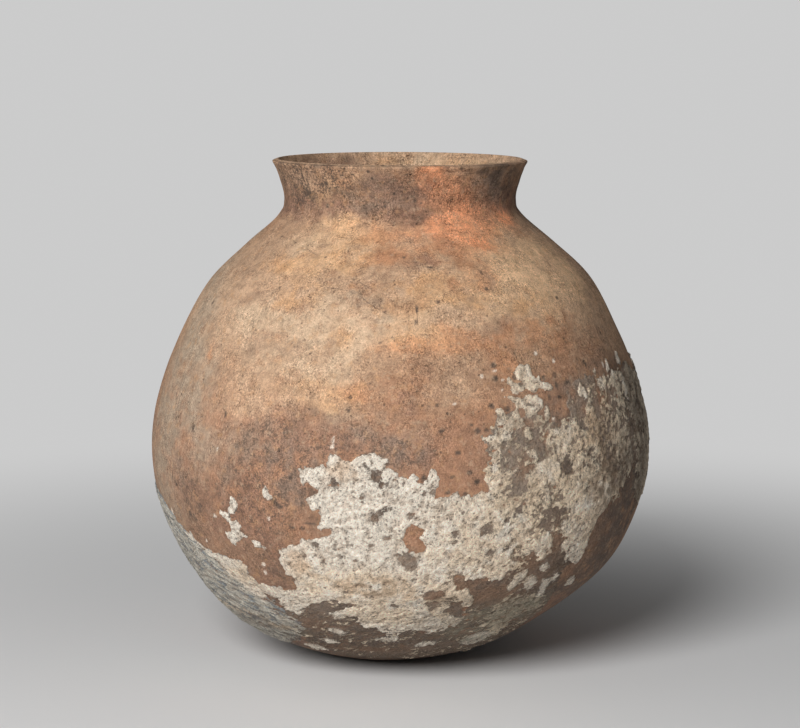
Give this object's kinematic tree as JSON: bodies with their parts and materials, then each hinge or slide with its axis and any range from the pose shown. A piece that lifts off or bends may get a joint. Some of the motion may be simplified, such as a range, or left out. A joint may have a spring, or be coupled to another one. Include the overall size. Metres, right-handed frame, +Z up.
{
  "type": "short-necked storage jar",
  "caption": "Round-based earthenware storage jar with a short flaring neck, hand-built in luted rings of clay, with lime crust on the lower wall.",
  "frame": {"origin": "on the plane the jar stands on, under the middle of the belly", "axes": "+Z up out of the mouth; -Y is the front with the large sheet of crust; +X is to the right as seen from the front"},
  "size_m": [0.3026, 0.3026, 0.2996],
  "materials": {
    "earthenware": "matt unglazed low-fired clay, orange-brown to pale buff, smoothed by hand, pitted and stained",
    "smoked_earthenware": "matt unglazed clay, brown with smoke-grey patches and soot specks",
    "lime_crust": "rough granular cream-coloured mineral crust, chalky and matt"
  },
  "bodies": {
    "root": {"base_disc": "earthenware", "base_ring": "earthenware", "lower_wall": "earthenware", "upper_wall": "earthenware", "shoulder": "earthenware", "neck_collar": "smoked_earthenware", "lip_band": "smoked_earthenware", "lime_crust_front": "lime_crust", "lime_crust_low_left": "lime_crust", "lime_crust_underside": "lime_crust", "lime_flake_long": "lime_crust", "lime_flake_upper": "lime_crust", "lime_flake_lower": "lime_crust", "lime_flake_right": "lime_crust", "lime_crust_right_side": "lime_crust", "lime_crust_right_back": "lime_crust", "lime_crust_back_left": "lime_crust"}
  },
  "joints": []
}
